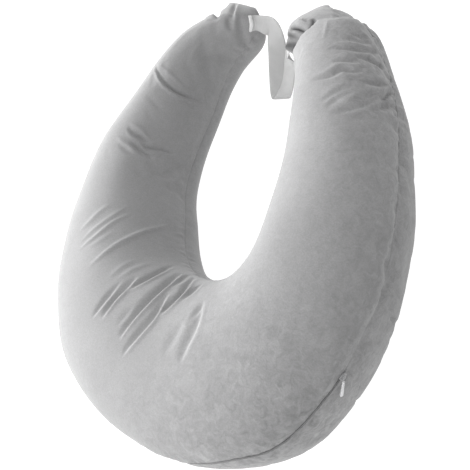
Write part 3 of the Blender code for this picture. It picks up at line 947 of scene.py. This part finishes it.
def zip_places(spacing):
    """Evenly spaced section positions along the zip."""
    fine = np.linspace(ZIP_FIRST_SECTION, ZIP_LAST_SECTION, ZIP_FINE_STEPS)
    run = run_along(plain_surface(fine, 0.0)[0])
    return np.interp(np.arange(spacing / 2, run[-1], spacing), run, fine)


def add_block(shape, size, rounding, matrix):
    """A block with rounded edges, added to a bmesh."""
    made = bmesh.ops.create_cube(shape, size=1.0, matrix=Matrix.Diagonal((*size, 1)))
    edges = list({edge for vertex in made["verts"] for edge in vertex.link_edges})
    made = bmesh.ops.bevel(
        shape, geom=edges, offset=rounding, segments=2, profile=0.5, affect="EDGES"
    )
    # The bevel names only its own faces, so the rest of the block is found from them.
    island = {vertex for face in made["faces"] for vertex in face.verts}
    fresh = list(island)
    while fresh:
        vertex = fresh.pop()
        for edge in vertex.link_edges:
            other = edge.other_vert(vertex)
            if other not in island:
                island.add(other)
                fresh.append(other)
    bmesh.ops.transform(shape, matrix=matrix, verts=list(island))


def object_from(name, shape, material):
    mesh = bpy.data.meshes.new(name)
    shape.to_mesh(mesh)
    shape.free()
    mesh.materials.append(material)
    mesh.shade_smooth()
    return add_object(name, mesh)


def make_chain():
    rows = []
    for section in np.linspace(ZIP_FIRST_SECTION, ZIP_LAST_SECTION, ZIP_STEPS):
        place, along, outward = seam_frame(section)
        up = outward.cross(along)
        centre = place + outward * (CHAIN_GAP + TAPE_THICKNESS / 2)
        rows.append([centre + up * side * TAPE_WIDTH / 2 for side in (-1, -0.5, 0, 0.5, 1)])
    outlines = strip_outlines(np.array(rows), TAPE_THICKNESS)
    tape = loft("zip_tape", outlines, plain_material(TAPE_LOOK))
    shape = bmesh.new()
    for count, section in enumerate(zip_places(TOOTH_PITCH / 2)):
        place, along, outward = seam_frame(section)
        side = 1 if count % 2 else -1
        lift = CHAIN_GAP + TAPE_THICKNESS + TOOTH_SIZE[2] / 2
        up = outward.cross(along)
        spot = place + outward * lift + up * side * TOOTH_SIZE[1] * TOOTH_ASIDE
        add_block(shape, TOOTH_SIZE, SMALL_ROUNDING, placed(spot, along, outward))
    teeth = object_from("zip_teeth", shape, plain_material(TEETH_LOOK))
    for item in (tape, teeth):
        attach(item, "root")
    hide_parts("zip_chain")


def slider_matrix():
    """Where the slider's plate lies: X runs along the zip and Z out of it."""
    place, along, outward = seam_frame(ZIP_LAST_SECTION)
    lift = CHAIN_GAP + TAPE_THICKNESS + TOOTH_SIZE[2] + PIECE_GAP + SLIDER_PLATE / 2
    return placed(place - along * SLIDER_LENGTH / 2 + outward * lift, along, outward)


def make_slider():
    """The slider: a plate, two flanges round the teeth, and the bridge with the puller."""
    at = slider_matrix()
    shape = bmesh.new()
    add_block(shape, (SLIDER_LENGTH, SLIDER_WIDTH, SLIDER_PLATE), SLIDER_ROUNDING, at)
    _, width, height = FLANGE_SIZE
    for side in (-1, 1):
        aside = side * (SLIDER_WIDTH - width) / 2
        flange = Matrix.Translation((0, aside, -height / 2 - PIECE_GAP))
        add_block(shape, FLANGE_SIZE, SMALL_ROUNDING, at @ flange)
    rise = BRIDGE_HEIGHT - BRIDGE_BLOCK_SIZE[1] / 2
    for turn in np.linspace(-math.pi / 2, math.pi / 2, BRIDGE_BLOCKS):
        height = SLIDER_PLATE / 2 + math.cos(turn) * rise
        spot = Matrix.Translation((math.sin(turn) * BRIDGE_LENGTH / 2, 0, height))
        tilt = Matrix.Rotation(turn, 4, "Y")
        add_block(shape, BRIDGE_BLOCK_SIZE, BRIDGE_ROUNDING, at @ spot @ tilt)
    slider = object_from("zip_slider", shape, plain_material(SLIDER_LOOK))
    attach(slider, "root")
    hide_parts("zip_slider")


def puller_outline():
    """The teardrop round the puller's hole: two arcs joined by straight sides."""
    neck, end = PULLER_NECK_RADIUS, PULLER_END_RADIUS
    far = PULLER_LENGTH - neck - end
    lean = math.asin((end - neck) / far)
    quarter = math.pi / 2
    points = []
    for turn in np.linspace(quarter + lean, -quarter - lean, PULLER_END_STEPS):
        points.append((far + end * math.cos(turn), end * math.sin(turn)))
    for turn in np.linspace(-quarter - lean, -3 * quarter + lean, PULLER_NECK_STEPS):
        points.append((neck * math.cos(turn), neck * math.sin(turn)))
    return points


def puller_matrix(tree):
    """Where the puller hangs: X runs from its hole to its round end and Z off the cover."""
    at = slider_matrix()
    along, outward = at.to_3x3().col[0], at.to_3x3().col[2]
    down = Matrix.Rotation(PULLER_TURN, 3, outward) @ -along
    start = at.translation - along * SLIDER_LENGTH * PULLER_PLACE_SHARE
    start += outward * (BRIDGE_HEIGHT + PULLER_THICKNESS)
    on_body, normal, height = over_cover(tree, start + down * PULLER_LENGTH)
    end = on_body + normal * max(PULLER_GAP, height)
    direction = (end - start).normalized()
    _, normal, _ = over_cover(tree, (start + end) / 2)
    facing = (normal - direction * normal.dot(direction)).normalized()
    return placed(start, direction, facing)


def make_puller(tree):
    shape = bmesh.new()
    rows = []
    hole, rounding, half = PULLER_HOLE_RADIUS, PULLER_ROUNDING, PULLER_THICKNESS / 2
    inset = half - rounding
    for x, y in puller_outline():
        reach = math.hypot(x, y)
        profile = (
            (reach - rounding, half), (reach, inset),
            (reach, -inset), (reach - rounding, -half),
            (hole + rounding, -half), (hole, -inset),
            (hole, inset), (hole + rounding, half),
        )
        rows.append([shape.verts.new((x / reach * r, y / reach * r, z)) for r, z in profile])
    for row, other in zip(rows, rows[1:] + rows[:1]):
        for corners in zip(row, row[1:] + row[:1], other[1:] + other[:1], other):
            shape.faces.new(corners)
    bmesh.ops.recalc_face_normals(shape, faces=shape.faces)
    bmesh.ops.transform(shape, matrix=puller_matrix(tree), verts=shape.verts)
    puller = object_from("zip_puller", shape, plain_material(PULLER_LOOK))
    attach(puller, "root")
    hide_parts("zip_puller")


# The plush: its grey, and how large its patches, its crushed nap and its fuzz are and how far
# they swing lighter and darker.
PLUSH_GREY = 0.25
PLUSH_TINT = (1.0, 1.0, 1.008)
PATCH_SIZE, PATCH_SWING = 70 * MM, 0.16
CRUSH_SIZE, CRUSH_SWING = 26 * MM, 0.45
NAP_SIZE, NAP_SWING = 9 * MM, 1.1
FUZZ_SIZE, FUZZ_SWING = 1.6 * MM, 0.35
NAP_BUMP = 0.8 * MM
FUZZ_BUMP = 0.25 * MM
# Where the nap is crushed: pairs of a section, then of degrees round it, and how much.
NAP_ALONG = [
    (-1, 0.6), (2.5, 0.4), (5, 0.3), (8.5, 0.3), (9.5, 0.8), (10.6, 0.9), (11.3, 0.45),
    (12.6, 0.5), (13.5, 0.7), (19, 0.8),
]
NAP_ROUND = [
    (12, 1.1), (25, 0.9), (60, 0.7), (90, 0.4), (130, 0.3), (180, 0.7), (270, 0.8),
    (335, 1), (360, 1.1),
]


def plush_material():
    material, nodes = new_material("pillow_plush")
    place = nodes.place()
    patches = nodes.noise(place, PATCH_SIZE, 2)
    nap = nodes.noise(place, NAP_SIZE, 4, 1.2)
    fuzz = nodes.noise(place, FUZZ_SIZE, 2)
    crushed = nodes.attribute("nap")
    crush = nodes.noise(place, CRUSH_SIZE, 3, 0.6)
    # Painted shade: the grey is darkened along the outer seam's line by seam_shade, and in the
    # tuck by fold_shade.
    away = nodes.math("DIVIDE", nodes.attribute("from_seam"), SEAM_SHADE_REACH)
    line = nodes.math("POWER", 2.0, nodes.times(away, away, -1.0))
    line = nodes.times(line, nodes.attribute("seam_shade"))
    grey = nodes.times(
        nodes.swing(patches, PATCH_SWING),
        nodes.swing(crush, nodes.times(crushed, CRUSH_SWING)),
        nodes.swing(nap, nodes.times(crushed, NAP_SWING)),
        nodes.swing(fuzz, FUZZ_SWING),
        nodes.math("SUBTRACT", 1.0, nodes.attribute("fold_shade")),
        nodes.math("SUBTRACT", 1.0, line),
        PLUSH_GREY,
    )
    normal = nodes.bump(nodes.times(nap, crushed), NAP_BUMP)
    nodes.surface({
        "Base Color": nodes.grey(grey, PLUSH_TINT),
        "Roughness": 0.95,
        "Specular IOR Level": 0.1,
        "Sheen Weight": 0.25,
        "Sheen Roughness": 0.5,
        "Normal": nodes.bump(fuzz, FUZZ_BUMP, normal),
    })
    return material


def make_body():
    points, attributes = body_shape()
    body = loft("cover", points, plush_material())
    for name, values in attributes.items():
        ends = [values[0].mean(), values[-1].mean()]
        give_attribute(body, name, np.append(values.ravel(), ends))
    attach(body, "root")
    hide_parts("pillow_body")
    return body


def make_camera():
    data = bpy.data.cameras.new("camera")
    data.lens = CAMERA_LENS_MM
    data.sensor_width = CAMERA_SENSOR_MM
    camera = add_object("camera", data)
    forward = (Vector(CAMERA_TARGET) - Vector(CAMERA_PLACE)).normalized()
    right = forward.cross(Vector(CAMERA_UP)).normalized()
    camera.matrix_world = placed(CAMERA_PLACE, right, -forward)
    bpy.context.scene.camera = camera


def make_floor():
    """A floor that is nearly self-lit, as the photo's background is plain white."""
    bpy.ops.mesh.primitive_plane_add(size=6.0)
    floor = bpy.context.object
    floor.name = "floor"
    material, nodes = new_material("floor_pale")
    nodes.surface({
        "Base Color": (0.15, 0.15, 0.15, 1), "Roughness": 0.9,
        "Emission Color": (1, 1, 1, 1), "Emission Strength": 1.0,
    })
    floor.data.materials.append(material)


# Soft lamps: azimuth and elevation from the pillow in degrees, size in metres, power in watts.
Lamp = namedtuple("Lamp", "name azimuth elevation size power")
LAMPS = [Lamp(*row) for row in (
    ("key", 165, 25, 1.5, 56),
    ("key_side", 205, 22, 1.2, 8),
    ("front", 235, 33, 1.4, 21),
    ("north", 90, 45, 1.2, 11),
    ("north_west", 128, 20, 1.2, 7),
    ("south", 280, 40, 1.2, 11),
    ("top", 0, 90, 1.2, 7),
)]
LAMP_TARGET = (0, 0, 0.06)
LAMP_DISTANCE = 1.9
WORLD_STRENGTH = 0.46


def add_light(lamp):
    data = bpy.data.lights.new(lamp.name, "AREA")
    data.shape = "DISK"
    data.size = lamp.size
    data.energy = lamp.power
    light = add_object(lamp.name, data)
    heading = Vector(direction(lamp.azimuth, lamp.elevation))
    light.location = Vector(LAMP_TARGET) + heading * LAMP_DISTANCE
    light.rotation_euler = heading.to_track_quat("Z", "Y").to_euler()


def light_scene():
    for lamp in LAMPS:
        add_light(lamp)
    world = bpy.data.worlds.new("studio")
    world.use_nodes = True
    background = world.node_tree.nodes["Background"]
    background.inputs["Color"].default_value = (1, 1, 1, 1)
    background.inputs["Strength"].default_value = WORLD_STRENGTH
    bpy.context.scene.world = world
    bpy.context.scene.view_settings.view_transform = "Standard"


make_camera()
make_floor()
light_scene()
cover = make_body()
make_strap(cover)
make_chain()
make_slider()
make_puller(mesh_tree(cover))
